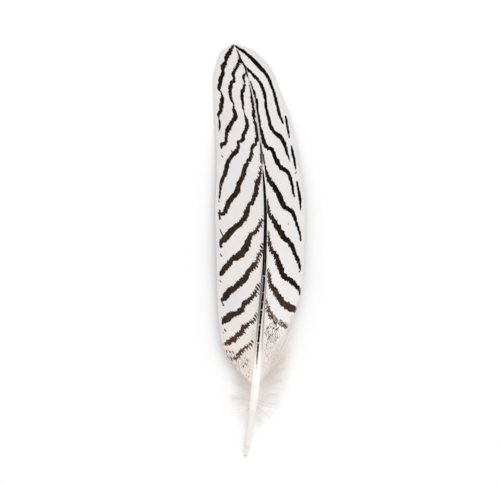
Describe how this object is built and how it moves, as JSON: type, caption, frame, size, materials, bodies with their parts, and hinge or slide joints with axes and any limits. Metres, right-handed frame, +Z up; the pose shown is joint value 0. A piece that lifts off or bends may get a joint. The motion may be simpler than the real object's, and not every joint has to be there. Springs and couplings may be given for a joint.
{
  "type": "pheasant feather",
  "caption": "Barred white wing feather lying upper side up, with a tapering shaft, two arched vanes and a downy foot.",
  "frame": {"origin": "centre of the underside of the bounding box, on the surface that the feather lies on", "axes": "+Y from the quill's end to the tip, +Z up from the surface, out of the feather's upper side, and +X to the right seen from above"},
  "size_m": [0.041, 0.1832, 0.0092],
  "materials": {
    "vane": "matt white barbs with narrow, wavy black-brown bars across them",
    "shaft": "smooth satin horn, cream at the quill, with a black stripe along the upper side",
    "down": "loose matt down, off-white"
  },
  "bodies": {
    "root": {"feather": "vane"}
  },
  "joints": []
}
